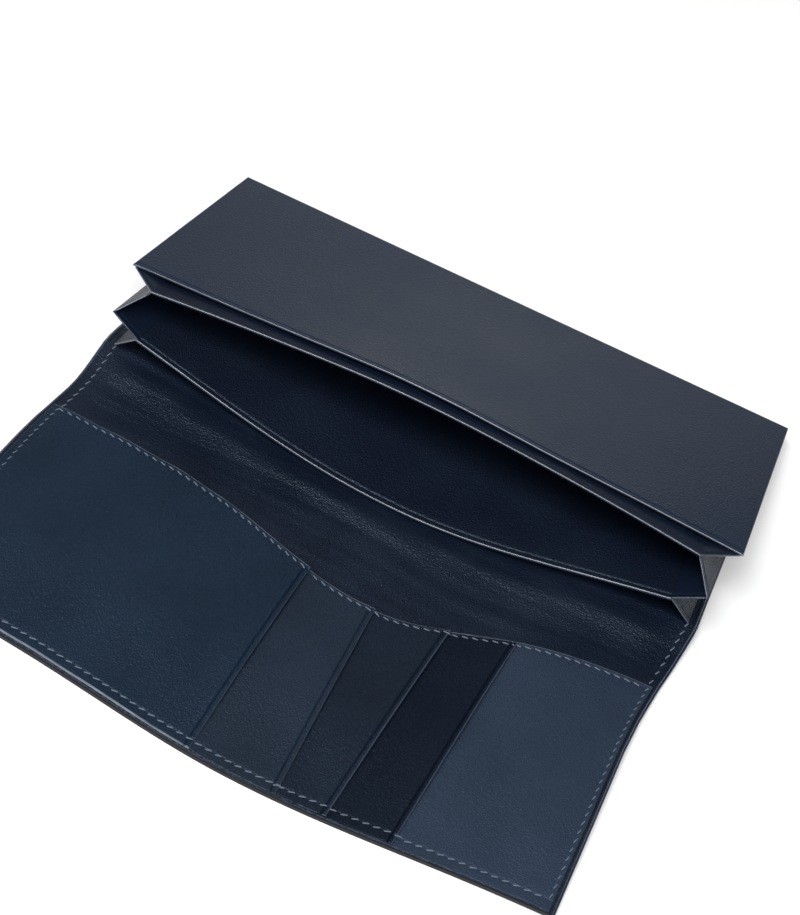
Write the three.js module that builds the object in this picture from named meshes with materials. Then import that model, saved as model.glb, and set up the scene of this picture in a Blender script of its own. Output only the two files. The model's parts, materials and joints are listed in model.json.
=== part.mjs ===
// Long wallet in leather, lying open: a body with three bill compartments on
// side gussets, a soft spine, and a flap that carries four card pockets.
// Millimetres. X runs along the wallet, Y from the flap to the body's closed
// edge, Z up. The origin is under the middle of the open wallet.
import * as THREE from 'three';

// ---- driving dimensions -------------------------------------------------
const openLength = 203.5; // from the flap's outer edge to the closed edge
const coverHalfWidth = 92.5;
const panelHalfWidth = 95; // the front panel is a little wider than the cover
const dividerHalfWidth = 84.3;
const rearPanelHalfWidth = 82.6;

// Distances from the body's closed edge, measured toward the flap.
const frontMouth = 78.7;
const dividerMouth = 89;
const rearMouthAtSides = 96.1;
const rearMouthAtMiddle = 97.5;
const bodyFold = 98.5; // where the body turns into the spine
const flapFold = 125.5; // where the spine turns into the flap
const flapEdge = 200; // at the sides; the middle bows out a little further
const flapEdgeBow = 3.5;
const foldGap = 0.3;
const bindingDepth = 1.5; // of the strip that joins the layers at the closed edge
const panelStart = 1.9; // the inner panels begin just in front of that strip

// Leather, board and air, from the table upward.
const coverThickness = 1;
const boardThickness = 0.4;
const skinThickness = 0.5; // linings and panel leathers
const pocketThickness = 0.45;
const air = 0.25; // left between neighbouring layers
const boardInset = 5;
const frontBoardThickness = 0.3;
const frontAir = 0.15; // inside the front panel, which is glued up tighter
const bindingClearance = 0.35; // lets the front panel tip at its fold

// Heights of the upper faces.
const panelRoot = { rear: 3.95, divider: 5.5, front: 7.5 };
const frontMouthHeight = 22.2;
const frontArch = 3;
const dividerMouthHeight = 22;
const dividerArch = 3;
const dividerCurve = 1.15; // how late the divider rises toward its mouth
const rearSideHeight = 12.4;
const rearMiddleRise = 0.7;
const rearCurve = 1.9;

// Card section.
const cardTopAtSides = 126.4;
const cardTopDip = 10;
const cardTopDipCentre = 12;
const cardTopDipWidth = 38;
const cardEdgeInset = 1;
const cardSideInset = 0.5;
const pocketMouths = [-6, 15, 33, 50];
const pocketReach = 88;

// Thread.
const threadWidth = 0.7;
const threadHeight = 0.3;
const threadAir = 0.15; // below the thread
const sideSeamInset = 3;
const bodySeamInset = 1.6; // outside the gussets
const bodySeamStart = 4;
const edgeSeamInset = 5;
const topSeamInset = 2.4;
const rowEndInset = 5.5; // where the long rows stop, from the cover's sides
const seamGap = 1; // between a side seam's ends and the folds
const mouthStep = 0.5; // a row steps down this far past a pocket mouth

// Facets of the curved layers.
const acrossSteps = 14;
const alongSteps = 6;
const cardSteps = { base: 16, pocket: 10, along: 2 };
const pleatSteps = { across: 2, along: 6 };
const threadSteps = 24;

const boardFloor = coverThickness + air;
const liningFloor = boardFloor + boardThickness + air;
const liningTop = liningFloor + skinThickness;
const cardFloor = liningTop + air;
const cardPitch = pocketThickness + air;
const frontPanelThickness = 2 * (skinThickness + frontAir) + frontBoardThickness;

// ---- colours ------------------------------------------------------------
const navyLeather = { color: 0x1c2738, roughness: 0.42, metalness: 0 };
const navyLining = { color: 0x141d2b, roughness: 0.5, metalness: 0 };
const blueGreyThread = { color: 0x4b5c70, roughness: 0.75, metalness: 0 };
const greyBoard = { color: 0x6e6a62, roughness: 0.9, metalness: 0 };

const wallet = new THREE.Group();
wallet.name = 'long_wallet';

// ---- helpers ------------------------------------------------------------
const yAt = (distance) => openLength / 2 - distance;
const lerp = THREE.MathUtils.lerp;

// A closed slab over a grid: lower(u, v) and upper(u, v) give its two faces.
function slabGeometry(lower, upper, across, along) {
  const positions = [];
  const columns = across + 1;
  for (const face of [lower, upper]) {
    for (let j = 0; j <= along; j += 1) {
      for (let i = 0; i <= across; i += 1) {
        positions.push(...face(i / across, j / along));
      }
    }
  }
  const layer = columns * (along + 1);
  const at = (i, j, top) => top * layer + j * columns + i;
  const indices = [];
  const quad = (a, b, c, d) => indices.push(a, b, c, a, c, d);
  for (let j = 0; j < along; j += 1) {
    for (let i = 0; i < across; i += 1) {
      quad(at(i, j, 1), at(i + 1, j, 1), at(i + 1, j + 1, 1), at(i, j + 1, 1));
      quad(at(i, j, 0), at(i, j + 1, 0), at(i + 1, j + 1, 0), at(i + 1, j, 0));
    }
  }
  for (let i = 0; i < across; i += 1) {
    quad(at(i, 0, 0), at(i + 1, 0, 0), at(i + 1, 0, 1), at(i, 0, 1));
    quad(at(i + 1, along, 0), at(i, along, 0), at(i, along, 1), at(i + 1, along, 1));
  }
  for (let j = 0; j < along; j += 1) {
    quad(at(0, j + 1, 0), at(0, j, 0), at(0, j, 1), at(0, j + 1, 1));
    quad(at(across, j, 0), at(across, j + 1, 0), at(across, j + 1, 1), at(across, j, 1));
  }
  const geometry = new THREE.BufferGeometry();
  geometry.setAttribute('position', new THREE.Float32BufferAttribute(positions, 3));
  geometry.setIndex(facingOutward(positions, indices));
  geometry.computeVertexNormals();
  return geometry;
}

// Turns every triangle over if the slab came out inside out.
function facingOutward(positions, indices) {
  const point = (k) => new THREE.Vector3().fromArray(positions, 3 * k);
  let volume = 0;
  for (let k = 0; k < indices.length; k += 3) {
    const [a, b, c] = [point(indices[k]), point(indices[k + 1]), point(indices[k + 2])];
    volume += a.dot(b.cross(c));
  }
  if (volume > 0) {
    return indices;
  }
  const turned = [];
  for (let k = 0; k < indices.length; k += 3) {
    turned.push(indices[k], indices[k + 2], indices[k + 1]);
  }
  return turned;
}

function add(name, geometry, look) {
  const mesh = new THREE.Mesh(geometry, new THREE.MeshStandardMaterial(look));
  mesh.name = name;
  wallet.add(mesh);
}

// A layer whose upper face is top(x, distance), lowered by "depth".
function addLayer(
  name,
  look,
  outline,
  top,
  depth,
  thickness,
  across = acrossSteps,
  along = alongSteps,
) {
  const face = (drop) => (u, v) => {
    const [x, distance] = outline(u, v);
    return [x, yAt(distance), top(x, distance) - drop];
  };
  add(name, slabGeometry(face(depth + thickness), face(depth), across, along), look);
}

// A flat layer standing "floor" above the table.
function addFlatLayer(name, look, outline, floor, thickness, across = 1, along = 1) {
  const top = () => floor + thickness;
  addLayer(name, look, outline, top, 0, thickness, across, along);
}

// A rectangle in plan, and one whose flap edge bows outward.
function rectangle(left, right, near, far) {
  return (u, v) => [lerp(left, right, u), lerp(near, far, v)];
}

const bowOf = (x) => flapEdgeBow * (1 - (x / coverHalfWidth) ** 2);

function bowedRectangle(left, right, near, inset) {
  return (u, v) => {
    const x = lerp(left, right, u);
    return [x, lerp(near, flapEdge + bowOf(x) - inset, v)];
  };
}

// ---- body: cover, board, lining and the binding of the closed edge -------
function addBack() {
  const near = bodyFold - foldGap;
  const w = coverHalfWidth;
  const b = w - boardInset;
  addFlatLayer('back_cover', navyLeather, rectangle(-w, w, 0, near), 0, coverThickness);
  addFlatLayer(
    'back_board',
    greyBoard,
    rectangle(-b, b, boardInset, near - boardInset),
    boardFloor,
    boardThickness,
  );
  addFlatLayer(
    'back_lining',
    navyLining,
    rectangle(-w, w, 0, near),
    liningFloor,
    skinThickness,
  );
  const bindingTop = panelRoot.front - frontPanelThickness - bindingClearance;
  addFlatLayer(
    'closed_edge_binding',
    navyLeather,
    rectangle(-w, w, 0, bindingDepth),
    cardFloor,
    bindingTop - cardFloor,
  );
}

// ---- the three panels that part the bill compartments --------------------
const share = (x, halfWidth) => (x / halfWidth) ** 2;

function frontTop(x, distance) {
  const reach = distance / frontMouth;
  const arch = frontArch * reach ** 2 * (1 - share(x, panelHalfWidth));
  return lerp(panelRoot.front, frontMouthHeight, reach) + arch;
}

function dividerTop(x, distance) {
  const reach = distance / dividerMouth;
  const arch = dividerArch * reach ** 2 * (1 - share(x, dividerHalfWidth));
  return lerp(panelRoot.divider, dividerMouthHeight, reach ** dividerCurve) + arch;
}

function rearTop(x, distance) {
  const reach = (distance / rearMouthAtSides) ** rearCurve;
  const side = (rearSideHeight - panelRoot.rear) * share(x, rearPanelHalfWidth);
  const middle = rearMiddleRise * (1 - share(x, rearPanelHalfWidth));
  return panelRoot.rear + reach * (side + middle);
}

function addFrontPanel() {
  const w = panelHalfWidth;
  const b = w - boardInset;
  const face = rectangle(-w, w, 0, frontMouth);
  const core = rectangle(-b, b, boardInset, frontMouth - boardInset);
  const thick = { skin: skinThickness, board: frontBoardThickness };
  const boardDepth = thick.skin + frontAir;
  const liningDepth = boardDepth + thick.board + frontAir;
  addLayer('front_panel_face', navyLeather, face, frontTop, 0, thick.skin);
  addLayer('front_panel_board', greyBoard, core, frontTop, boardDepth, thick.board);
  addLayer('front_panel_lining', navyLining, face, frontTop, liningDepth, thick.skin);
}

function addDivider() {
  const w = dividerHalfWidth;
  const plan = rectangle(-w, w, panelStart, dividerMouth);
  const below = skinThickness + air;
  addLayer('divider_face', navyLeather, plan, dividerTop, 0, skinThickness);
  addLayer('divider_lining', navyLining, plan, dividerTop, below, skinThickness);
}

function addRearPanel() {
  const w = rearPanelHalfWidth;
  const plan = (u, v) => {
    const x = lerp(-w, w, u);
    const mouth = lerp(rearMouthAtMiddle, rearMouthAtSides, share(x, w));
    return [x, lerp(panelStart, mouth, v)];
  };
  const below = skinThickness + air;
  addLayer('rear_panel_lining', navyLining, plan, rearTop, 0, skinThickness);
  addLayer('rear_panel_face', navyLeather, plan, rearTop, below, skinThickness);
}

// ---- side gussets ---------------------------------------------------------
// Each pleat runs from its closed end to its mouth between two fold lines,
// given as [half width, distance, height].
const gussetThickness = 0.4;
const pleats = {
  gusset_front: {
    closed: [[94.4, 8, 6.55], [85, 8, 5.9]],
    mouth: [[94.4, 78.2, 20.1], [85, 88.2, 20.9]],
  },
  gusset_middle_upper: {
    closed: [[85, 8, 5.1], [90.5, 8, 5]],
    mouth: [[85, 88.5, 20], [90.3, 96.9, 18.7]],
  },
  gusset_middle_lower: {
    closed: [[90.5, 8, 4.3], [83.3, 8, 4.25]],
    mouth: [[90.3, 96.9, 18], [83.3, 96, 12.6]],
  },
  gusset_rear: {
    closed: [[83.3, 8, 3.5], [89.6, 8, 3]],
    mouth: [[83.5, 96, 11.8], [89.6, 95.5, 3.3]],
  },
};

function placed([halfWidth, distance, height], side) {
  return new THREE.Vector3(side * halfWidth, yAt(distance), height);
}

function addPleat(name, { closed, mouth }, side) {
  const [a, b] = closed.map((p) => placed(p, side));
  const [c, d] = mouth.map((p) => placed(p, side));
  const middle = (u, v) => a.clone().lerp(b, u).lerp(c.clone().lerp(d, u), v);
  const face = (sign) => (u, v) => {
    const acrossPleat = middle(1, v).sub(middle(0, v));
    const alongPleat = middle(u, 1).sub(middle(u, 0));
    const normal = acrossPleat.cross(alongPleat).normalize();
    return middle(u, v).addScaledVector(normal, sign * gussetThickness / 2).toArray();
  };
  const { across, along } = pleatSteps;
  add(name, slabGeometry(face(-1), face(1), across, along), navyLeather);
}

function addGussets() {
  for (const [name, pleat] of Object.entries(pleats)) {
    addPleat(`${name}_left`, pleat, -1);
    addPleat(`${name}_right`, pleat, 1);
  }
}

// ---- spine ----------------------------------------------------------------
function addSpine() {
  const w = coverHalfWidth;
  const plan = rectangle(-w, w, bodyFold + foldGap, flapFold - foldGap);
  addFlatLayer('spine_cover', navyLeather, plan, 0, coverThickness);
  addFlatLayer('spine_lining', navyLining, plan, liningFloor, skinThickness);
}

// ---- flap: cover, board and lining ------------------------------------------
function addFlap() {
  const w = coverHalfWidth;
  const near = flapFold + foldGap;
  const b = w - boardInset;
  addFlatLayer(
    'flap_cover',
    navyLeather,
    bowedRectangle(-w, w, near, 0),
    0,
    coverThickness,
    acrossSteps,
  );
  addFlatLayer(
    'flap_board',
    greyBoard,
    bowedRectangle(-b, b, near + boardInset, boardInset),
    boardFloor,
    boardThickness,
    acrossSteps,
  );
  addFlatLayer(
    'flap_lining',
    navyLining,
    bowedRectangle(-w, w, near, 0),
    liningFloor,
    skinThickness,
    acrossSteps,
  );
}

// ---- card section -----------------------------------------------------------
function cardTop(x) {
  const offset = (x - cardTopDipCentre) / cardTopDipWidth;
  return cardTopAtSides + cardTopDip * Math.exp(-offset * offset);
}

function cardPlan(left, right) {
  return (u, v) => {
    const x = lerp(left, right, u);
    return [x, lerp(cardTop(x), flapEdge + bowOf(x) - cardEdgeInset, v)];
  };
}

function addCardSection() {
  const w = coverHalfWidth - cardSideInset;
  const { base, pocket, along } = cardSteps;
  const thickness = pocketThickness;
  addFlatLayer('card_base', navyLeather, cardPlan(-w, w), cardFloor, thickness, base, along);
  pocketMouths.forEach((mouth, k) => {
    const plan = cardPlan(Math.max(mouth - pocketReach, -w), mouth);
    const floor = cardFloor + (pocketMouths.length - k) * cardPitch;
    const name = `card_pocket_${k + 1}`;
    addFlatLayer(name, navyLeather, plan, floor, thickness, pocket, along);
  });
}

// The upper face of the card section at x: each pocket mouth is one step down.
function cardSurface(x) {
  const open = pocketMouths.filter((mouth) => x <= mouth + mouthStep).length;
  return cardFloor + open * cardPitch + pocketThickness;
}

// ---- stitching ----------------------------------------------------------------
// A thread strip through a list of [x, distance, height] points.
function addThread(name, points, widthAxis) {
  const half = threadWidth / 2;
  const face = (rise) => (u, v) => {
    const [x, distance, height] = points[Math.round(u * (points.length - 1))];
    const offset = lerp(-half, half, v);
    const [dx, dy] = widthAxis === 'x' ? [offset, 0] : [0, offset];
    return [x + dx, yAt(distance) + dy, height + threadAir + rise];
  };
  add(name, slabGeometry(face(0), face(threadHeight), points.length - 1, 1), blueGreyThread);
}

// The points of a long row over the card section, with a step at each mouth.
function acrossCardSection(distanceAt) {
  const reach = coverHalfWidth - rowEndInset;
  const xs = [];
  for (let k = 0; k <= threadSteps; k += 1) {
    xs.push(lerp(-reach, reach, k / threadSteps));
  }
  for (const mouth of pocketMouths) {
    xs.push(mouth + mouthStep, mouth + 2 * mouthStep);
  }
  xs.sort((a, b) => a - b);
  return xs.map((x) => [x, distanceAt(x), cardSurface(x)]);
}

function addStitching() {
  const top = (x) => cardTop(x) + topSeamInset;
  const edge = (x) => flapEdge + bowOf(x) - edgeSeamInset;
  addThread('card_top_stitching', acrossCardSection(top), 'y');
  addThread('flap_edge_stitching', acrossCardSection(edge), 'y');
  const seam = (x, from, to, height) => [[x, from, height], [x, to, height]];
  for (const [word, side] of [['left', -1], ['right', 1]]) {
    const x = side * (coverHalfWidth - sideSeamInset);
    const cards = cardSurface(x);
    const flapSeam = seam(x, cardTopAtSides + seamGap, flapEdge - edgeSeamInset, cards);
    const spineSeam = seam(x, bodyFold + seamGap, flapFold - seamGap, liningTop);
    const outside = side * (coverHalfWidth - bodySeamInset);
    const bodySeam = seam(outside, bodySeamStart, bodyFold - seamGap, liningTop);
    addThread(`flap_side_stitching_${word}`, flapSeam, 'x');
    addThread(`spine_side_stitching_${word}`, spineSeam, 'x');
    addThread(`body_side_stitching_${word}`, bodySeam, 'x');
  }
}

addBack();
addRearPanel();
addDivider();
addFrontPanel();
addGussets();
addSpine();
addFlap();
addCardSection();
addStitching();

export default wallet;
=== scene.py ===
import json
import math

import bmesh
import bpy
import numpy as np
from mathutils import Matrix, Vector


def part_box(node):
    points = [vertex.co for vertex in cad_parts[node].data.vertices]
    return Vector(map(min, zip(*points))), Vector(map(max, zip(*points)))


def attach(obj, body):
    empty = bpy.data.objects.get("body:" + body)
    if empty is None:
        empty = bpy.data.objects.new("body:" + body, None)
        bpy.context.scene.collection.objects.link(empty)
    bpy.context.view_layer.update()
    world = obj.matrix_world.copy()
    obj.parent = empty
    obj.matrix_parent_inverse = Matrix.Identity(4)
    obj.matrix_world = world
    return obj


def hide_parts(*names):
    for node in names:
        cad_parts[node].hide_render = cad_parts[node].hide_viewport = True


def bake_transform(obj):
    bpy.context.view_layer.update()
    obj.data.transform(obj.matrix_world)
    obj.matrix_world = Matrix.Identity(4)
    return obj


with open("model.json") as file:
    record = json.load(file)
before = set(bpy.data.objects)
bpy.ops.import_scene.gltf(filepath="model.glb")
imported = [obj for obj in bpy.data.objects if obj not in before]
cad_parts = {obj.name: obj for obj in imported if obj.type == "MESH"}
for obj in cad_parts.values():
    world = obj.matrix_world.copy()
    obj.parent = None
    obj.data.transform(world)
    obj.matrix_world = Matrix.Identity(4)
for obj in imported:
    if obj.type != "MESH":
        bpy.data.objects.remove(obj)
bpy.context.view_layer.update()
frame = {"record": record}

# An opened long wallet in navy leather. Shapes are worked out in millimetres,
# from the CAD frame's own boxes, and every mesh is written in metres.
# "distance" runs from the body's closed edge toward the flap, as on the CAD.
MM = 0.001


# ---- places taken from the frame -------------------------------------------
def box_mm(node):
    low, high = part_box(node)
    return low / MM, high / MM


cover_high = box_mm("back_cover")[1]
closed_edge = cover_high.y
half_width = cover_high.x


def distance_of(y):
    return closed_edge - y


panel_half_width = box_mm("front_panel_face")[1].x
front_mouth = distance_of(box_mm("front_panel_face")[0].y)
divider_half_width = box_mm("divider_face")[1].x
divider_trim = 1  # the divider's leather stops short of the CAD sheet by this much
divider_mouth = distance_of(box_mm("divider_face")[0].y) - divider_trim
rear_half_width = box_mm("rear_panel_face")[1].x
rear_mouth = distance_of(box_mm("gusset_rear_left")[0].y)
front_root_rise = 0.5  # from the CAD panel's underside to the leather's upper side
front_root = box_mm("front_panel_face")[0].z + front_root_rise
stitch_margin = 5  # from the end of the side stitching to the flap's outer edge
flap_edge = distance_of(box_mm("flap_side_stitching_left")[0].y) + stitch_margin
joint_distance = {
    j["name"]: distance_of(j["pos_m"][1] / MM) for j in frame["record"]["behaviour"]["joints"]
}
body_fold = joint_distance["spine_bend"]
flap_fold = joint_distance["flap_bend"]
spine_middle = (body_fold + flap_fold) / 2
pocket_mouths = [box_mm(f"card_pocket_{k}")[1].x for k in (1, 2, 3, 4)]
pocket_ends = [box_mm(f"card_pocket_{k}")[0].x for k in (1, 2, 3, 4)]

# ---- leather thicknesses ------------------------------------------------------
cover_thickness = 1.1
lining_floor = 1.65
lining_thickness = 0.6
lining_top = lining_floor + lining_thickness
card_thickness = 0.5
card_step = 0.5
layer_gap = 0.05  # of air between two leathers

# ---- how far each finish reaches in from an edge --------------------------------
burnish_highlight_width = 0.4
highlight_rim_width = 0.42
paint_width = 0.01


def smooth(t):
    t = np.clip(t, 0, 1)
    return t * t * (3 - 2 * t)


def bell(offset, left, right):
    """1 at offset 0, falling away over "left" on one side and "right" on the other."""
    width = np.where(offset < 0, left, right)
    return np.exp(-((offset / width) ** 2))


# ---- how the opened wallet lies -------------------------------------------------
# Distances, and how high the sides stand or how far out they reach there.
side_lift_at = [0, 60, 80, 88, 94, 99, 105, 114, 124, 134, 148, 172, 195, 210]
side_lift = [0, 0.5, 1.8, 2.8, 3.2, 2.4, 1.2, 0.5, 0.9, 1.6, 2.4, 2.0, 0.7, 0.5]
right_edge_at = [0, 95, 102, 110, 118, 125, 133, 145, 210]
right_edge = [92.5, 92.6, 91.8, 90.8, 89.6, 88.8, 88.0, 87.4, 87.2]
left_edge_at = [0, 90, 100, 110, 120, 130, 140, 150, 210]
left_edge = [92.5, 93.6, 93.0, 92.6, 93.1, 93.6, 93.6, 93.3, 93.5]


def lift(x, distance):
    """How far the soft leather stands off the table: nothing in the middle, most at the sides."""
    middle = 8
    reach = np.where(x > middle, half_width - middle, half_width + middle)
    share = np.clip(np.abs(x - middle) / reach, 0, 1.1) ** 2.4
    return np.interp(distance, side_lift_at, side_lift) * share


def curl(x, distance):
    """Draws the sides in where the opened flap curls; the middle stays put."""
    right = np.interp(distance, right_edge_at, right_edge)
    left = np.interp(distance, left_edge_at, left_edge)
    shift = np.where(x > 0, right - half_width, half_width - left)
    return x + shift * (np.abs(x) / half_width) ** 3


edge_inset = 0.15  # of the lining and the card leathers, from the cover's outer edge


def outer_edge(x):
    """The flap's outer edge bulges outward, most a little right of the middle."""
    inset, bulge = 3, 7
    return flap_edge - inset + bulge * bell(x - 5, 52, 60)


def pressed(x, distance):
    """The layers are skived thin toward the flap's edges, and rounded off beside the outer one."""
    skive_start, skive_end = 36, 2
    round_width = 0.3
    side_start, side_width = 84, 8
    from_edge = outer_edge(x) - distance
    skived = smooth((skive_start - from_edge) / (skive_start - skive_end)) * bell(x, 100, 100)
    rounded = np.clip(1 - (from_edge - edge_inset) / round_width, 0, 1) ** 2
    sides = smooth((np.abs(x) - side_start) / side_width)
    return (1 - 0.44 * skived) * (1 - 0.035 * rounded) * (1 - 0.22 * sides)


def card_top(x):
    """The card section's top edge, which sags toward the middle and turns back at the corners."""
    start, slope, sag, turn = 122.7, 0.022, 17.2, 1.1
    return start - slope * x + sag * bell(x - 13, 45, 35) - turn * (x / half_width) ** 4


def rear_mouth_at(x):
    """The rear panel's mouth hangs out furthest a little right of the middle."""
    least, sag = 0.6, 6.6
    offset = x - 5
    reach = np.where(offset < 0, 95, 78)
    share = 0.5 * (1 + np.cos(np.pi * np.clip(offset / reach, -1, 1)))
    return rear_mouth + least + sag * share


# ---- mesh building --------------------------------------------------------------
least_spacing = 0.05


def spread(start, stop, step, rim, creases=(0, 0)):
    """Grid lines from start to stop: close together at both rims and at a crease, even between."""
    near = {0.0, 0.12 * rim, 0.4 * rim, rim, 1.6 * rim, 2.4 * rim, 3.6 * rim}

    def edge_lines(crease):
        lines = set(near)
        if crease:
            lines |= {crease + k * 0.22 for k in (-3, -2, -1, 0, 1, 2, 3)}
        return lines

    first = {start + s for s in edge_lines(creases[0])}
    last = {stop - s for s in edge_lines(creases[1])}
    inner_start = max(first) + step / 2
    inner_stop = min(last) - step / 2
    count = max(2, int(round((inner_stop - inner_start) / step)) + 1)
    lines = sorted(first | last | set(np.linspace(inner_start, inner_stop, count)))
    kept = [lines[0]]
    for value in lines[1:]:
        if value - kept[-1] > least_spacing:
            kept.append(value)
    kept[-1] = stop
    return np.array(kept)


def new_mesh(name, vertices, faces, material):
    mesh = bpy.data.meshes.new(name)
    mesh.from_pydata((np.asarray(vertices) * MM).tolist(), [], faces)
    mesh.polygons.foreach_set("use_smooth", [True] * len(mesh.polygons))
    mesh.materials.append(material)
    mesh.update()
    piece = bpy.data.objects.new(name, mesh)
    bpy.context.scene.collection.objects.link(piece)
    return piece


def grid_normals(points):
    across = np.gradient(points, axis=1)
    along = np.gradient(points, axis=0)
    normals = np.cross(across, along)
    length = np.linalg.norm(normals, axis=2, keepdims=True)
    return normals / np.maximum(length, 1e-9)


# The finishes of a sheet's rims, as material slots after its own leather in slot 0.
BURNISH_AND_HIGHLIGHT, HIGHLIGHT_RIM, PAINTED = 1, 2, 3


def closed_sheet(name, top, bottom, material, finish):
    """A closed mesh between two grids of points; "finish" is each point's material slot."""
    rows, columns = finish.shape
    count = rows * columns
    vertices = np.concatenate([top.reshape(-1, 3), bottom.reshape(-1, 3)])
    faces = []
    for j in range(rows - 1):
        for i in range(columns - 1):
            a = j * columns + i
            b = a + columns
            faces.append((a, a + 1, b + 1, b))
            faces.append((count + a, count + b, count + b + 1, count + a + 1))
    loop = [(0, i) for i in range(columns - 1)]
    loop += [(j, columns - 1) for j in range(rows - 1)]
    loop += [(rows - 1, i) for i in range(columns - 1, 0, -1)]
    loop += [(j, 0) for j in range(rows - 1, 0, -1)]
    ring = [j * columns + i for j, i in loop]
    for a, b in zip(ring, ring[1:] + ring[:1]):
        faces.append((a, count + a, count + b, b))
    piece = new_mesh(name, vertices, faces, material)
    for extra in (burnish_and_highlight, painted_highlight_edge, edge_paint):
        piece.data.materials.append(extra)
    finish = np.tile(finish.ravel(), 2)
    chosen = [finish[list(face)].min() for face in faces]
    piece.data.polygons.foreach_set("material_index", np.array(chosen, dtype=np.int32))
    weld(piece)
    for face in piece.data.polygons:
        face.use_smooth = face.material_index != PAINTED
    return piece


def leather(
    name, material, us, vs, surface, thickness,
    creases=(), rolls=(), open_edges=(), burnished_highlighted=(), highlight_rims=(), painted=(),
):
    """A closed leather sheet with rounded rims.

    us and vs are its grid lines; surface(u, v) gives x, y and z of its middle.
    creases are (edge, distance from it, depth, width): grooves pressed beside an edge.
    rolls are (edge, width, drop): the leather turns down over that width beside an edge.
    open_edges have no rounded rim: the sheet runs on in another mesh, or is cut square.
    burnished edges are glossy, and their lighter colour paints in part of their highlight; rims listed
    to be highlighted carry a painted highlight, a pale line; painted edges have dark, dull edge paint.
    """
    u, v = np.meshgrid(us, vs)
    points = np.stack(surface(u, v), axis=2)
    normals = grid_normals(points)
    if normals[:, :, 2].mean() < 0:
        normals = -normals
    from_edge = {
        "left": u - us[0],
        "right": us[-1] - u,
        "near": v - vs[0],
        "far": vs[-1] - v,
    }
    radius = thickness / 2
    half = np.full(u.shape, radius)
    for edge, gap in from_edge.items():
        if edge not in open_edges:
            inside = np.clip(gap / radius, 0, 1)
            half = np.minimum(half, radius * np.sqrt(1 - (1 - inside) ** 2))
    groove = np.zeros(u.shape)
    for edge, place, depth, width in creases:
        groove += depth * np.exp(-(((from_edge[edge] - place) / width) ** 2))
    for edge, width, drop in rolls:
        turned = drop * (1 - np.clip(from_edge[edge] / width, 0, 1)) ** 1.2
        points = points - normals * turned[:, :, None]
    top = points + normals * (half - groove)[:, :, None]
    bottom = points - normals * half[:, :, None]
    finish = np.zeros(u.shape, int)
    for edges, width, slot in (
        (burnished_highlighted, burnish_highlight_width, BURNISH_AND_HIGHLIGHT),
        (highlight_rims, highlight_rim_width, HIGHLIGHT_RIM),
        (painted, paint_width, PAINTED),
    ):
        for edge in edges:
            finish[from_edge[edge] < width] = slot
    return closed_sheet(name, top, bottom, material, finish)


weld_distance = 0.004
sharp_angle = math.radians(60)


def weld(piece):
    """Closes the rims, where the upper and lower faces meet, and turns every face outward."""
    work = bmesh.new()
    work.from_mesh(piece.data)
    bmesh.ops.remove_doubles(work, verts=work.verts, dist=weld_distance * MM)
    bmesh.ops.recalc_face_normals(work, faces=work.faces)
    work.to_mesh(piece.data)
    work.free()
    piece.data.set_sharp_from_angle(angle=sharp_angle)


def to_row(x, distance, z):
    return x, closed_edge - distance, z


def wrinkles(x, distance, size, seed):
    """Slow, uneven swells, so that the leather isn't a ruled surface."""
    dice = np.random.default_rng(seed)
    total = np.zeros(np.shape(x))
    for wavelength in (61, 43, 29, 19):
        angle = dice.uniform(0, math.pi)
        phase = dice.uniform(0, 2 * math.pi)
        along = x * math.cos(angle) + distance * math.sin(angle)
        total = total + np.sin(2 * math.pi * along / wavelength + phase) * wavelength / 60
    return size * total


# ---- materials --------------------------------------------------------------------
def node(tree, kind, **inputs):
    made = tree.nodes.new(kind)
    for name, value in inputs.items():
        made.inputs[name.replace("_", " ")].default_value = value
    return made


def new_material(name):
    material = bpy.data.materials.new(name)
    material.use_nodes = True
    tree = material.node_tree
    return material, tree, tree.nodes["Principled BSDF"]


def texture(tree, kind, **inputs):
    """A texture placed by the piece's own coordinates, so that it stays on the leather."""
    place = tree.nodes.new("ShaderNodeTexCoord")
    made = node(tree, kind, **inputs)
    tree.links.new(place.outputs["Object"], made.inputs["Vector"])
    return made


def colour_between(tree, value, dark, light, dark_at=0, light_at=1):
    """The colour runs from dark to light while the value runs from dark_at to light_at."""
    ramp = tree.nodes.new("ShaderNodeValToRGB")
    first, last = ramp.color_ramp.elements
    first.position = dark_at
    first.color = (*dark, 1)
    last.position = light_at
    last.color = (*light, 1)
    tree.links.new(value, ramp.inputs["Fac"])
    return ramp.outputs["Color"]


def roughness_between(tree, value, shader, low, high, low_at=0, high_at=1):
    """The roughness runs from low to high while the value runs from low_at to high_at."""
    gloss = tree.nodes.new("ShaderNodeMapRange")
    gloss.inputs["From Min"].default_value = low_at
    gloss.inputs["From Max"].default_value = high_at
    gloss.inputs["To Min"].default_value = low
    gloss.inputs["To Max"].default_value = high
    tree.links.new(value, gloss.inputs["Value"])
    tree.links.new(gloss.outputs["Result"], shader.inputs["Roughness"])


def add_bump(tree, height, shader, strength, depth):
    bump = node(tree, "ShaderNodeBump", Strength=strength, Distance=depth)
    tree.links.new(height, bump.inputs["Height"])
    tree.links.new(bump.outputs["Normal"], shader.inputs["Normal"])


sheen_tint = (0.66, 0.83, 1.0, 1)
pore_size = 0.5
pore_share = 0.6
mottling = 0.35


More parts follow.
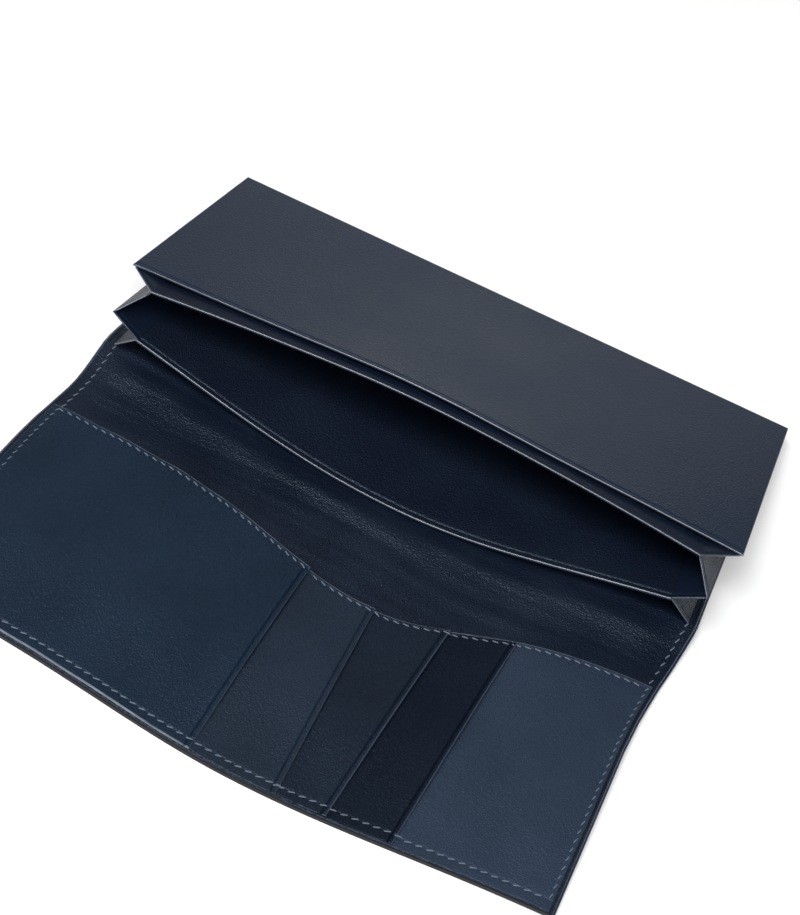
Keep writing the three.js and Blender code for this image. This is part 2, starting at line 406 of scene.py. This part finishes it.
def leather_material(name, colour, warm, roughness, grain, level=0.42):
    """Smooth navy leather: fine pores, slow changes of colour and gloss, a broad sheen."""
    material, tree, shader = new_material(name)
    clouds = texture(tree, "ShaderNodeTexNoise", Scale=28.0, Detail=5.0, Roughness=0.55)
    tint = colour_between(tree, clouds.outputs["Fac"], colour, warm, 0.32, 0.72)

    pores = texture(tree, "ShaderNodeTexVoronoi", Scale=1000 / pore_size, Randomness=1.0)
    fibres = texture(tree, "ShaderNodeTexNoise", Scale=900.0, Detail=6.0, Roughness=0.65)
    grain_mix = tree.nodes.new("ShaderNodeMath")
    grain_mix.operation = "MULTIPLY_ADD"
    grain_mix.inputs[1].default_value = pore_share
    tree.links.new(pores.outputs["Distance"], grain_mix.inputs[0])
    tree.links.new(fibres.outputs["Fac"], grain_mix.inputs[2])
    add_bump(tree, grain_mix.outputs[0], shader, strength=grain, depth=0.00022)

    darken = tree.nodes.new("ShaderNodeMix")
    darken.data_type = "RGBA"
    darken.blend_type = "MULTIPLY"
    darken.inputs["Factor"].default_value = mottling
    tree.links.new(tint, darken.inputs["A"])
    tree.links.new(fibres.outputs["Fac"], darken.inputs["B"])
    tree.links.new(darken.outputs["Result"], shader.inputs["Base Color"])

    low, high = roughness - 0.05, roughness + 0.06
    roughness_between(tree, clouds.outputs["Fac"], shader, low, high, 0.3, 0.7)
    shader.inputs["Specular IOR Level"].default_value = level
    shader.inputs["Specular Tint"].default_value = sheen_tint
    return material


def thread_material():
    """Twisted thread: slanting light and dark bands with a soft sheen."""
    material, tree, shader = new_material("thread")
    twist = texture(tree, "ShaderNodeTexWave", Scale=1400.0, Distortion=1.5, Detail=2.0)
    twist.bands_direction = "DIAGONAL"
    dark, light = (0.022, 0.035, 0.06), (0.15, 0.19, 0.26)
    colour = colour_between(tree, twist.outputs["Fac"], dark, light)
    tree.links.new(colour, shader.inputs["Base Color"])
    add_bump(tree, twist.outputs["Fac"], shader, strength=0.5, depth=0.00008)
    shader.inputs["Roughness"].default_value = 0.5
    shader.inputs["Sheen Weight"].default_value = 0.25
    return material


def board_material():
    """Grey pulp board, dull and mottled."""
    material, tree, shader = new_material("board")
    pulp = texture(tree, "ShaderNodeTexNoise", Scale=700.0, Detail=6.0)
    dark, light = (0.2, 0.19, 0.17), (0.42, 0.4, 0.36)
    colour = colour_between(tree, pulp.outputs["Fac"], dark, light)
    tree.links.new(colour, shader.inputs["Base Color"])
    shader.inputs["Roughness"].default_value = 0.9
    return material


def burnish_and_highlight_material():
    """Burnished edges: smooth and glossy, with small nicks in the gloss; their lighter colour is a
    painted highlight added to the real gloss.
    """
    material, tree, shader = new_material("burnished_highlight_edge")
    nicks = texture(tree, "ShaderNodeTexNoise", Scale=650.0, Detail=4.0)
    dark, light = (0.016, 0.024, 0.045), (0.045, 0.06, 0.092)
    colour = colour_between(tree, nicks.outputs["Fac"], dark, light)
    tree.links.new(colour, shader.inputs["Base Color"])
    roughness_between(tree, nicks.outputs["Fac"], shader, 0.14, 0.34)
    shader.inputs["Specular IOR Level"].default_value = 1.0
    return material


def painted_highlight_edge_material():
    """The turned rims of the card leathers, with a painted highlight: a pale line along the edge,
    paler in some places.
    """
    material, tree, shader = new_material("painted_highlight_edge")
    wear = texture(tree, "ShaderNodeTexNoise", Scale=160.0, Detail=5.0, Roughness=0.6)
    dark, light = (0.05, 0.066, 0.095), (0.15, 0.175, 0.22)
    colour = colour_between(tree, wear.outputs["Fac"], dark, light, 0.35, 0.65)
    tree.links.new(colour, shader.inputs["Base Color"])
    add_bump(tree, wear.outputs["Fac"], shader, strength=0.3, depth=0.0001)
    shader.inputs["Roughness"].default_value = 0.4
    return material


def edge_paint_material():
    """Dull dark paint on the cut edges at the flap's outer end, a little uneven."""
    material, tree, shader = new_material("edge_paint")
    strokes = texture(tree, "ShaderNodeTexNoise", Scale=420.0, Detail=4.0)
    dark, light = (0.006, 0.006, 0.007), (0.014, 0.0135, 0.014)
    colour = colour_between(tree, strokes.outputs["Fac"], dark, light)
    tree.links.new(colour, shader.inputs["Base Color"])
    add_bump(tree, strokes.outputs["Fac"], shader, strength=0.4, depth=0.0001)
    shader.inputs["Roughness"].default_value = 0.6
    shader.inputs["Specular IOR Level"].default_value = 0.3
    return material


outer = leather_material("outer_leather", (0.006, 0.0135, 0.033), (0.009, 0.0185, 0.041), 0.35, 0.5)
lining = leather_material("lining_leather", (0.003, 0.006, 0.015), (0.008, 0.013, 0.027), 0.34, 1.0)
inner = leather_material("inner_leather", (0.003, 0.0055, 0.014), (0.005, 0.009, 0.020), 0.42, 1.0)
# Painted shade: the divider's face is a darker copy of the outer leather, standing in for the shade
# under the front panel's mouth.
divider_painted_shade = leather_material(
    "divider_shaded_leather", (0.003, 0.0065, 0.018), (0.005, 0.0095, 0.025), 0.45, 0.5, level=0.32,
)
gusset = leather_material(
    "gusset_leather", (0.0035, 0.007, 0.018), (0.006, 0.011, 0.026), 0.42, 0.5, level=0.34,
)
# The card leathers differ a little in gloss; their colours are painted shade and light, darker and
# lighter copies of one leather standing in for how each pocket's tilt catches the light: pockets 1 to
# 4, then the base.
card_shade_tones = [
    ((0.0049, 0.0128, 0.0280), 0.42),
    ((0.0078, 0.0140, 0.0265), 0.42),
    ((0.0036, 0.0075, 0.0165), 0.40),
    ((0.0020, 0.0045, 0.0110), 0.26),
    ((0.0155, 0.0250, 0.0450), 0.42),
]


cloud_contrast = 1.45


def lighter(colour):
    return tuple(cloud_contrast * channel for channel in colour)


shaded_card_materials = [
    leather_material(f"card_leather_{k + 1}", tone, lighter(tone), 0.40, 0.9, level=level)
    for k, (tone, level) in enumerate(card_shade_tones)
]
burnish_and_highlight = burnish_and_highlight_material()
painted_highlight_edge = painted_highlight_edge_material()
edge_paint = edge_paint_material()
thread = thread_material()
board = board_material()


def place_on(piece, body, slot_name, *replaced):
    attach(piece, body)
    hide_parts(*replaced)


def bend_over(piece, first, second, start, stop, slot_name, *replaced):
    """Bakes the piece's placement into its mesh and hides the CAD parts it replaces."""
    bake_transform(piece)
    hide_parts(*replaced)


def sink_with(piece, panel, slot_name, *replaced):
    """Bakes the piece's placement into its mesh and hides the CAD parts it replaces."""
    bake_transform(piece)
    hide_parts(*replaced)


# Each fold is a soft corner, which starts and stops at these distances.
body_bend = (body_fold - 4, body_fold + 9)
flap_bend = (flap_fold - 8, flap_fold + 7)
rear_bend = (body_fold - 2, body_fold + 3)


# ---- cover and lining -----------------------------------------------------------
def flat_surface(floor, thickness):
    def surface(x, distance):
        return to_row(curl(x, distance), distance, floor + thickness / 2 + lift(x, distance))

    return surface


def add_cover():
    us = spread(-half_width, half_width, step=4, rim=0.5)
    vs = spread(0, spine_middle, step=3, rim=0.5)
    surface = flat_surface(0, cover_thickness)
    sides = ("left", "right")
    back = leather(
        "back_cover_leather", outer, us, vs, surface, cover_thickness,
        open_edges=("far",), burnished_highlighted=sides + ("near",),
    )
    bend_over(back, "back", "spine", *body_bend, "outer_leather", "back_cover")

    length = flap_edge - spine_middle
    vs = spread(0, length, step=3, rim=0.5)

    def flap_surface(x, v):
        distance = spine_middle + v * (outer_edge(x) - spine_middle) / length
        return surface(x, distance)

    flap = leather(
        "flap_cover_leather", outer, us, vs, flap_surface, cover_thickness,
        open_edges=("near", "far"), burnished_highlighted=sides, painted=("far",),
    )
    bend_over(flap, "spine", "flap", *flap_bend, "outer_leather", "spine_cover", "flap_cover")


def crumple(x, distance):
    """Soft creases that run along the bend, each wandering a little on its way across."""
    dice = np.random.default_rng(5)
    total = np.zeros(np.shape(x))
    for wavelength, height in ((11.0, 0.15), (7.1, 0.08), (4.3, 0.04), (2.9, 0.02), (2.0, 0.012)):
        phase, drift, place = dice.uniform(0, 2 * math.pi, 3)
        sway = 2.4 * np.sin(x / dice.uniform(14, 26) + drift)
        swell = 0.5 + 0.5 * np.sin(x / dice.uniform(9, 22) + place)
        total = total + height * swell * np.sin(2 * math.pi * distance / wavelength + phase + sway)
    return total


def lining_surface(x, distance):
    """The lining swells between the rear panel's mouth and the card section, with soft creases."""
    ridge_height, ridge_place, ridge_width = 1.1, 6.5, 4.6
    fade_start, fade_width = 78, 12
    beyond = distance - rear_mouth_at(x)
    before = card_top(x) - distance
    room = smooth(beyond / 5 + 0.5) * smooth(before / 6)
    fade = 1 - smooth((np.abs(x) - fade_start) / fade_width)
    ridge = ridge_height * np.exp(-(((beyond - ridge_place) / ridge_width) ** 2))
    base = (lining_floor + lining_thickness / 2) * pressed(x, distance) + lift(x, distance)
    return to_row(curl(x, distance), distance, base + room * fade * (ridge + crumple(x, distance)))


def add_lining():
    inset = 0.7
    seam = 1.3
    fine_step = 0.6  # where the lining bends and creases
    w = half_width - inset
    us = spread(-w, w, step=2.5, rim=0.3, creases=(seam, seam))
    bend_start = body_bend[0]
    flat_rows = spread(0.6, bend_start, step=2, rim=0.3)
    bent_rows = np.arange(bend_start + fine_step, spine_middle, fine_step)
    vs = np.concatenate([flat_rows, bent_rows])
    vs = np.append(vs[vs < spine_middle - 0.2], spine_middle)
    seams = [("left", seam, 0.12, 0.25), ("right", seam, 0.12, 0.25)]
    back = leather(
        "back_lining_leather", lining, us, vs, lining_surface, lining_thickness,
        creases=seams, open_edges=("far",), burnished_highlighted=("left", "right"),
    )
    bend_over(back, "back", "spine", *body_bend, "lining_leather", "back_lining")

    length = flap_edge - spine_middle
    bend_end = 30
    bent_rows = np.arange(0, bend_end, fine_step)
    vs = np.concatenate([bent_rows, spread(bend_end, length, step=2, rim=0.3)])

    def flap_surface(x, v):
        distance = spine_middle + v * (outer_edge(x) - edge_inset - spine_middle) / length
        return lining_surface(x, distance)

    flap = leather(
        "flap_lining_leather", lining, us, vs, flap_surface, lining_thickness,
        creases=seams, open_edges=("near", "far"), burnished_highlighted=("left", "right"), painted=("far",),
    )
    bend_over(flap, "spine", "flap", *flap_bend, "lining_leather", "spine_lining", "flap_lining")


def add_boards():
    """Stiff boards between the cover and the lining, clear of the edges and the folds."""
    margin = 5
    flap_start = flap_fold + 8
    thickness = 0.4
    surface = flat_surface(cover_thickness + 0.1, thickness)
    us = spread(-(half_width - margin), half_width - margin, step=5, rim=0.2)
    vs = spread(margin, body_fold - margin, step=5, rim=0.2)
    back = leather("back_board_sheet", board, us, vs, surface, thickness)
    place_on(back, "back", "board", "back_board")
    vs = spread(flap_start, flap_edge - margin, step=5, rim=0.2)
    flap = leather("flap_board_sheet", board, us, vs, surface, thickness)
    place_on(flap, "flap", "board", "flap_board")


# ---- panels ---------------------------------------------------------------------
# Each surface function takes the depth below the panel's upper side.
def crest(x):
    """The front panel and the divider stand highest at their mouths, a little left of the middle."""
    return bell(x + 8, 30, 40)


front_mouth_height = 22.1
front_arch = 2.6
front_crest = 2.0


def front_surface(depth):
    """Rises evenly from the closed edge, and arches toward its mouth."""
    def surface(x, distance):
        reach = distance / front_mouth
        share = 1 - (x / panel_half_width) ** 2
        arch = (front_arch * share + front_crest * crest(x)) * reach**2
        z = front_root + (front_mouth_height - front_root) * reach + arch
        z = z + wrinkles(x, distance, size=0.05, seed=7) * reach
        return to_row(x, distance, z - depth)

    return surface


def add_front_panel():
    w = panel_half_width
    face_thickness = 0.85
    crease = 1.6
    us = spread(-w, w, step=3, rim=0.45)
    vs = spread(0, front_mouth, step=3, rim=0.45, creases=(0, crease))
    face = leather(
        "front_panel_leather", outer, us, vs, front_surface(face_thickness / 2), face_thickness,
        creases=[("far", crease, 0.2, 0.22)], burnished_highlighted=("left", "right", "near", "far"),
    )
    sink_with(face, "front_panel", "outer_leather", "front_panel_face")
    thickness = 0.35
    inset = 0.5
    gap = 0.02
    us = spread(-w + inset, w - inset, step=3, rim=0.17)
    vs = spread(inset, front_mouth - inset, step=3, rim=0.17)
    depth = face_thickness + thickness / 2 + gap
    back = leather("front_panel_lining_leather", inner, us, vs, front_surface(depth), thickness)
    sink_with(back, "front_panel", "lining_leather", "front_panel_lining", "front_panel_board")


root_distance = 1.9  # from the closed edge to the divider and the rear panel
divider_root = 5.2
divider_height = 18.4
divider_rise = 1.7  # how late the divider rises at its sides


def divider_surface(depth):
    """Its mouth is drawn back in the middle, and turns down a little from a low brow."""
    def surface(x, v):
        share = 1 - (x / divider_half_width) ** 2
        mouth = divider_mouth - 4.8 * share
        distance = root_distance + v / divider_mouth * (mouth - root_distance)
        reach = distance / mouth
        brow = 0.35 * bell(x + 4, 42, 42)
        height = divider_height + 1.3 * share + 0.9 * crest(x) + brow
        z = divider_root + height * reach ** (divider_rise - 0.4 * share)
        z = z - brow * (np.clip(reach - 0.88, 0, 1) / 0.12) ** 2
        return to_row(x, distance, z - depth)

    return surface


def add_divider():
    w = divider_half_width
    thickness = 0.6
    crease = 1.7
    us = spread(-w, w, step=3, rim=0.3)
    vs = spread(0, divider_mouth, step=3, rim=0.3, creases=(0, crease))
    face = leather(
        "divider_shaded_leather", divider_painted_shade, us, vs, divider_surface(thickness / 2), thickness,
        creases=[("far", crease, 0.1, 0.25)], open_edges=("left", "right"), burnished_highlighted=("far",),
    )
    sink_with(face, "divider", "outer_leather", "divider_face")
    inset = 0.3
    us = spread(-w + inset, w - inset, step=3, rim=0.25)
    vs = spread(inset, divider_mouth - 0.4, step=3, rim=0.25)
    back = leather("divider_lining_leather", inner, us, vs, divider_surface(thickness + 0.27), 0.5)
    sink_with(back, "divider", "lining_leather", "divider_lining")


rear_root = 3.9
rear_side_height = 9.0


def rear_surface(depth):
    """Lies flat in the middle and rises toward its sides."""
    def surface(x, v):
        mouth = rear_mouth_at(x)
        distance = root_distance + v / rear_mouth * (mouth - root_distance)
        reach = distance / mouth
        side = np.abs(x / rear_half_width) ** 2.1
        z = rear_root + reach**1.25 * (rear_side_height * side) - 0.2 * reach
        return to_row(x, distance, z - depth)

    return surface


def add_rear_panel():
    w = rear_half_width
    thickness = 0.85
    crease = 1.9
    us = spread(-w, w, step=2.5, rim=0.3)
    vs = spread(0, rear_mouth, step=2.5, rim=0.43, creases=(0, crease))
    face = leather(
        "rear_panel_inner_leather", inner, us, vs, rear_surface(thickness / 2), thickness,
        creases=[("far", crease, 0.26, 0.24)], open_edges=("left", "right"), burnished_highlighted=("far",),
    )
    bend_over(face, "back", "spine", *rear_bend, "lining_leather", "rear_panel_lining")
    inset = 0.2
    us = spread(-w + inset, w - inset, step=2.5, rim=0.2)
    vs = spread(inset, rear_mouth - 0.3, step=2.5, rim=0.2)
    back = leather("rear_panel_outer_leather", outer, us, vs, rear_surface(thickness + 0.17), 0.4)
    bend_over(back, "back", "spine", *rear_bend, "outer_leather", "rear_panel_face")


# ---- gussets ---------------------------------------------------------------------
# Fold lines of a side gusset, from the front panel down to the lining. Each is (half width,
# distance, height) at the closed end and at the mouth, and how late it rises between them.
gusset_folds = [
    ((94.2, 3, 5.9), (94.3, 78.4, 20.8), 1.0),
    ((84.0, 3, 5.0), (84.0, 88.0, 23.3), divider_rise),
    ((91.5, 3, 4.6), (90.5, 97.0, 18.8), 1.4),
    ((82.2, 3, 3.9), (82.2, 96.6, 12.55), 1.25),
    ((89.6, 3, 2.9), (89.3, 95.3, 5.7), 2.2),
]


def fold_point(index, v, side):
    """A point on a fold line, "v" of the way, 0 to 1, from the closed end to the mouth."""
    closed, mouth, late = gusset_folds[index]
    closed = np.array(closed)
    mouth = np.array(mouth)
    line = closed + (mouth - closed) * v[..., None]
    height = closed[2] + (mouth[2] - closed[2]) * v**late
    return np.stack([side * line[..., 0], closed_edge - line[..., 1], height], axis=-1)


def pleat_surface(first, last, side):
    """A strip across consecutive folds: u counts the folds, and v runs along them."""
    def surface(u, v):
        fold = np.clip(np.floor(u), first, last - 1).astype(int)
        share = u - fold
        lines = np.stack([fold_point(i, v, side) for i in range(first, last + 1)])
        before = np.take_along_axis(lines, (fold - first)[None, ..., None], axis=0)[0]
        after = np.take_along_axis(lines, (fold - first + 1)[None, ..., None], axis=0)[0]
        point = before + (after - before) * share[..., None]
        return point[..., 0], point[..., 1], point[..., 2]

    return surface


# Places along a pleat, as shares of its length.
groove_at = 0.982
groove_width = 0.0025
rim_at = 0.9965
rim_width = 0.0035
gloss_and_highlight_from = 0.9955


def pleat(name, first, last, side, material):
    """A gusset strip as a closed sheet, with a groove and a rounded rim at its mouth."""
    thickness = 0.55
    groove_depth = 0.16
    steps = 6
    us = np.linspace(first, last, steps * (last - first) + 1)
    at_groove = [0.977, 0.9795, groove_at, 0.9845, 0.987]
    at_rim = [0.992, rim_at, 0.998, 0.9995, 1.0]
    vs = np.concatenate([np.linspace(0, 0.97, 26), at_groove, at_rim])
    u, v = np.meshgrid(us, vs)
    points = np.stack(pleat_surface(first, last, side)(u, v), axis=2)
    normals = grid_normals(points)
    rounded = np.clip((v - rim_at) / rim_width, 0, 1)
    half = thickness / 2 * np.sqrt(np.clip(1 - rounded**2, 0, 1))
    groove = groove_depth * np.exp(-(((v - groove_at) / groove_width) ** 2))
    top = points + normals * (half - groove)[:, :, None]
    bottom = points - normals * (half - groove)[:, :, None]
    return closed_sheet(name, top, bottom, material, np.where(v > gloss_and_highlight_from, BURNISH_AND_HIGHLIGHT, 0))


def add_gussets():
    for word, side in (("left", -1), ("right", 1)):
        front = pleat(f"gusset_front_pleat_{word}", 0, 1, side, gusset)
        sink_with(front, "front_panel", "gusset_leather", f"gusset_front_{word}")
        middle = pleat(f"gusset_middle_pleats_{word}", 1, 3, side, gusset)
        stands_for = [f"gusset_middle_{level}_{word}" for level in ("upper", "lower")]
        sink_with(middle, "divider", "gusset_leather", *stands_for)
        rear = pleat(f"gusset_rear_pleat_{word}", 3, 4, side, inner)
        place_on(rear, "back", "gusset_leather", f"gusset_rear_{word}")


def add_binding():
    """A strip along the closed edge that fills the height between the lining and the front panel."""
    inset = 0.4
    width = 1.6
    panel_layers = 1.5
    us = spread(-(half_width - inset), half_width - inset, step=6, rim=0.4)
    vs = spread(0, width, step=0.8, rim=0.4)
    thickness = front_root - panel_layers - lining_top - 0.1
    surface = flat_surface(lining_top + layer_gap, thickness)
    strip = leather("closed_edge_binding_strip", outer, us, vs, surface, thickness)
    place_on(strip, "back", "outer_leather", "closed_edge_binding")


# ---- card section ------------------------------------------------------------------
card_start = 128
card_length = flap_edge - card_start
top_seam = 1.4
edge_seam = 2.7
mouth_crease = 1.4
seam_depth = 0.14
lip_rise = 0.75
lip_width = 9
lip_at_seam = 0.35  # the share of its rise that a lip has where the seams hold it down
held_width = 14
step_width = 8
base_index = 4
# How far each pocket's mouth leans to the right on its way to the flap's edge.
pocket_lean = [-0.2, 1.6, -2.6, -2.4]
lean_middle = 155
lean_reach = 40


def layers_below(x, index):
    """Height of the pockets under pocket "index", 0 being the leftmost: each ends further right."""
    total = 0
    for end in pocket_ends[index + 1:]:
        total = total + card_step * smooth((x - end + step_width / 2) / step_width)
    return total


def card_distance(x, v):
    """The distance "v" of the way, 0 to 1, from the card section's top edge to the flap's edge."""
    top = card_top(x)
    return top + v * (outer_edge(x) - edge_inset - top)


def card_height(x, v, index):
    """Height of the middle of a card leather."""
    z = lining_top + layer_gap + card_thickness / 2
    if index != base_index:
        # A pocket's mouth stands up between the two seams that hold its ends down.
        from_seam = np.minimum(v, 1 - v) * card_length
        held = lip_at_seam + (1 - lip_at_seam) * smooth(from_seam / held_width)
        rise = lip_rise * held * smooth((x - pocket_mouths[index] + lip_width) / lip_width)
        z = z + card_step + layers_below(x, index) + rise
    return z


def card_surface(index):
    def surface(x, v):
        distance = card_distance(x, v)
        z = card_height(x, v, index) * pressed(x, distance) + lift(x, distance)
        z = z + wrinkles(x, distance, size=0.035, seed=11 + index)
        across = curl(x, distance)
        if index != base_index:
            end, mouth = pocket_ends[index], pocket_mouths[index]
            weight = smooth((x - end) / (mouth - end))
            across = across + pocket_lean[index] * weight * (distance - lean_middle) / lean_reach
        return to_row(across, distance, z)

    return surface


def card_panel(name, left, right, index):
    crease = 0 if index == base_index else mouth_crease
    us = spread(left, right, step=2.5, rim=0.25, creases=(0, crease))
    vs = spread(0, card_length, step=2.5, rim=0.25, creases=(top_seam, edge_seam))
    surface = card_surface(index)
    creases = [("near", top_seam, seam_depth, 0.35), ("far", edge_seam, seam_depth, 0.35)]
    rolls = [("near", 0.8, 0.12)]
    burnished_highlighted = []
    if crease:
        creases.append(("right", crease, 0.36, 0.22))
        rolls.append(("right", 0.6, 0.1))
        burnished_highlighted.append("right")
    # Only the uppermost leather carries the painted highlight line at the flap's outer edge.
    highlight_rims = ("near", "far") if index == 0 else ("near",)
    return leather(
        name, shaded_card_materials[index], us, vs, lambda u, v: surface(u, v / card_length), card_thickness,
        creases=creases, rolls=rolls, open_edges=("far",),
        burnished_highlighted=burnished_highlighted, highlight_rims=highlight_rims, painted=("far",),
    )


def add_card_section():
    inset = 2
    w = half_width - inset
    base = card_panel("card_base_leather", -w, w, base_index)
    bend_over(base, "spine", "flap", *flap_bend, "card_leather", "card_base")
    for k, (left, right) in enumerate(zip(pocket_ends, pocket_mouths)):
        pocket = card_panel(f"card_pocket_leather_{k + 1}", max(left, -w), right, k)
        bend_over(pocket, "spine", "flap", *flap_bend, "card_leather", f"card_pocket_{k + 1}")


def on_cards(x, v):
    """A point on top of whichever card leather is uppermost there."""
    index = min(k for k, mouth in enumerate([*pocket_mouths, math.inf]) if x < mouth)
    px, py, pz = card_surface(index)(np.array(float(x)), np.array(float(v)))
    return (float(px), float(py), float(pz) + card_thickness / 2 - seam_depth)


# ---- stitching -----------------------------------------------------------------------
stitch_pitch = 2.7
stitch_length = 2.3
stitch_dive = 0.28
stitch_rise = 0.06  # of the thread's middle above the leather
thread_radius = 0.16
least_radius = 0.02
run_sample = 0.8  # either way along the path, to see which way a stitch runs


def stitch_capsule(centre, along, up):
    """One stitch: a short thread that dives into the leather at both ends."""
    rings, around = 7, 8
    side = np.cross(up, along)
    vertices = []
    for i in range(rings):
        t = -1 + 2 * i / (rings - 1)
        r = thread_radius * math.sqrt(max(0.0, 1 - t**6)) + least_radius
        rise = -stitch_dive * t * t * t * t
        middle = centre + along * (t * stitch_length / 2) + up * rise
        for k in range(around):
            a = 2 * math.pi * k / around
            vertices.append(middle + side * (r * math.cos(a)) + up * (r * math.sin(a)))
    faces = []
    for i in range(rings - 1):
        for k in range(around):
            a = i * around + k
            b = i * around + (k + 1) % around
            faces.append((a, b, b + around, a + around))
    faces.append(tuple(range(around))[::-1])
    faces.append(tuple(range((rings - 1) * around, rings * around)))
    return vertices, faces


def stitch_row(name, path, slant):
    """Stitches at an even pitch along a path of points lying on the leather."""
    path = np.array(path)
    steps = np.linalg.norm(np.diff(path, axis=0), axis=1)
    travelled = np.concatenate([[0], np.cumsum(steps)])
    count = int(travelled[-1] // stitch_pitch)

    def point_at(run):
        return np.array([np.interp(run, travelled, path[:, c]) for c in range(3)])

    vertices, faces = [], []
    up = np.array([0, 0, 1.0])
    for k in range(count):
        run = (k + 0.5) * travelled[-1] / count
        along = point_at(run + run_sample) - point_at(run - run_sample)
        along /= np.linalg.norm(along)
        turned = np.array(Matrix.Rotation(slant, 3, "Z") @ Vector(along))
        flat_up = up - along * along.dot(up)
        flat_up /= np.linalg.norm(flat_up)
        centre = point_at(run) + flat_up * stitch_rise
        made, shape = stitch_capsule(centre, turned, flat_up)
        offset = len(vertices)
        vertices += made
        faces += [tuple(offset + i for i in face) for face in shape]
    return new_mesh(name, vertices, faces, thread)


def on_lining(x, distance):
    px, py, pz = lining_surface(np.array(float(x)), np.array(float(distance)))
    return (float(px), float(py), float(pz) + lining_thickness / 2)


def add_stitching():
    slant = math.radians(-17)
    left_end, right_end = -89, 87.5
    left_inset, right_inset = 4, 3.2
    xs = np.linspace(left_end, right_end, 260)
    top = stitch_row("card_top_stitches", [on_cards(x, top_seam / card_length) for x in xs], slant)
    bend_over(top, "spine", "flap", *flap_bend, "thread", "card_top_stitching")
    edge_v = 1 - edge_seam / card_length
    edge = stitch_row("flap_edge_stitches", [on_cards(x, edge_v) for x in xs], -slant)
    bend_over(edge, "spine", "flap", *flap_bend, "thread", "flap_edge_stitching")
    first_v = 0.4 / card_length
    for word, x in (("left", -(half_width - left_inset)), ("right", half_width - right_inset)):
        down = np.linspace(first_v, edge_v, 120)
        seam = stitch_row(f"flap_side_stitches_{word}", [on_cards(x, v) for v in down], slant)
        bend_over(seam, "spine", "flap", *flap_bend, "thread", f"flap_side_stitching_{word}")
        down = np.linspace(rear_mouth - 2.5, spine_middle, 60)
        seam = stitch_row(f"body_side_stitches_{word}", [on_lining(x, d) for d in down], slant)
        bend_over(seam, "back", "spine", *body_bend, "thread", f"body_side_stitching_{word}")
        down = np.linspace(spine_middle, float(card_top(x)), 60)
        seam = stitch_row(f"spine_side_stitches_{word}", [on_lining(x, d) for d in down], slant)
        bend_over(seam, "spine", "flap", *flap_bend, "thread", f"spine_side_stitching_{word}")


# ---- camera, light and floor --------------------------------------------------------
# The lens, place and roll come from matching the corners of the panels with the photograph.
camera_lens = 68.7
camera_roll = math.radians(18.63)
camera_place = (62.7, closed_edge - 439.6, 342.6)
camera_target = (-2.35, closed_edge - 85.1, 5)


def add_camera():
    data = bpy.data.cameras.new("camera")
    data.sensor_fit = "AUTO"
    data.sensor_width = 36
    data.lens = camera_lens
    data.clip_start = 0.01
    data.clip_end = 20
    camera = bpy.data.objects.new("camera", data)
    bpy.context.scene.collection.objects.link(camera)
    position = Vector(camera_place) * MM
    target = Vector(camera_target) * MM
    look = (target - position).to_track_quat("-Z", "Y")
    roll = Matrix.Rotation(camera_roll, 3, "Z").to_quaternion()
    camera.location = position
    camera.rotation_mode = "QUATERNION"
    camera.rotation_quaternion = look @ roll
    bpy.context.scene.camera = camera


def add_softbox(name, position, size, power):
    """A rectangular area light that faces the wallet; all in metres and watts."""
    data = bpy.data.lights.new(name, "AREA")
    data.shape = "RECTANGLE"
    data.size, data.size_y = size
    data.energy = power
    lamp = bpy.data.objects.new(name, data)
    bpy.context.scene.collection.objects.link(lamp)
    lamp.location = position
    lamp.rotation_mode = "QUATERNION"
    lamp.rotation_quaternion = (-Vector(position)).to_track_quat("-Z", "Y")


def add_studio():
    world = bpy.data.worlds.new("studio")
    world.use_nodes = True
    world.node_tree.nodes["Background"].inputs["Color"].default_value = (1, 1, 1, 1)
    world.node_tree.nodes["Background"].inputs["Strength"].default_value = 0.1
    bpy.context.scene.world = world
    add_softbox("back_softbox", (-0.12, 1.5, 0.45), size=(0.5, 0.34), power=0.5)
    add_softbox("high_back_softbox", (-0.5, 1.55, 0.98), size=(0.9, 0.4), power=1.3)
    add_softbox("key_softbox", (-0.5, -0.9, 1.7), size=(0.9, 0.9), power=22)
    add_softbox("left_strip", (-1.3, -0.25, 0.6), size=(0.3, 0.8), power=5)
    add_softbox("front_fill", (0.5, -1.6, 2.0), size=(2.2, 2.2), power=72)

    material, _, shader = new_material("floor")
    shader.inputs["Base Color"].default_value = (0.93, 0.93, 0.93, 1)
    shader.inputs["Roughness"].default_value = 0.9
    reach = 6000
    corners = [(-reach, -reach, 0), (reach, -reach, 0), (reach, reach, 0), (-reach, reach, 0)]
    floor = new_mesh("floor", np.array(corners, float), [(0, 1, 2, 3)], material)
    # A hair below the wallet, so that no two faces share a plane.
    floor.location.z = -0.00005
    bpy.context.scene.view_settings.view_transform = "Standard"


add_cover()
add_lining()
add_boards()
add_binding()
add_rear_panel()
add_divider()
add_front_panel()
add_gussets()
add_card_section()
add_stitching()
add_camera()
add_studio()
